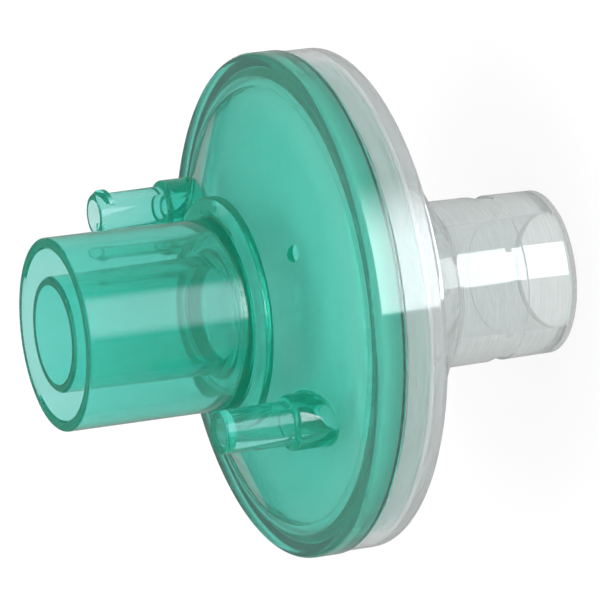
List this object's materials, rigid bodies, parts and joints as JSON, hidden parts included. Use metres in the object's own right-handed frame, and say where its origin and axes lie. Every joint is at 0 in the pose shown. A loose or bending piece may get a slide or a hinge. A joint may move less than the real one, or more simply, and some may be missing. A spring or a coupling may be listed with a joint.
{
  "type": "breathing circuit filter",
  "caption": "Round in-line breathing filter: a green and a clear conical shell welded at the rim, with coaxial conical ports, a gas sampling port and a cap post.",
  "frame": {"origin": "centre of the open end face of the clear port, which the part stands on", "axes": "+Z along the flow axis towards the green port, +X from the axis to the open sampling port"},
  "size_m": [0.067, 0.067, 0.0704],
  "materials": {
    "clear_plastic": "clear gloss moulding",
    "green_plastic": "translucent gloss moulding",
    "filter_fleece": "white nonwoven fleece"
  },
  "bodies": {
    "root": {"clear_housing": "clear_plastic", "green_housing": "green_plastic", "filter_medium": "filter_fleece"}
  },
  "joints": []
}
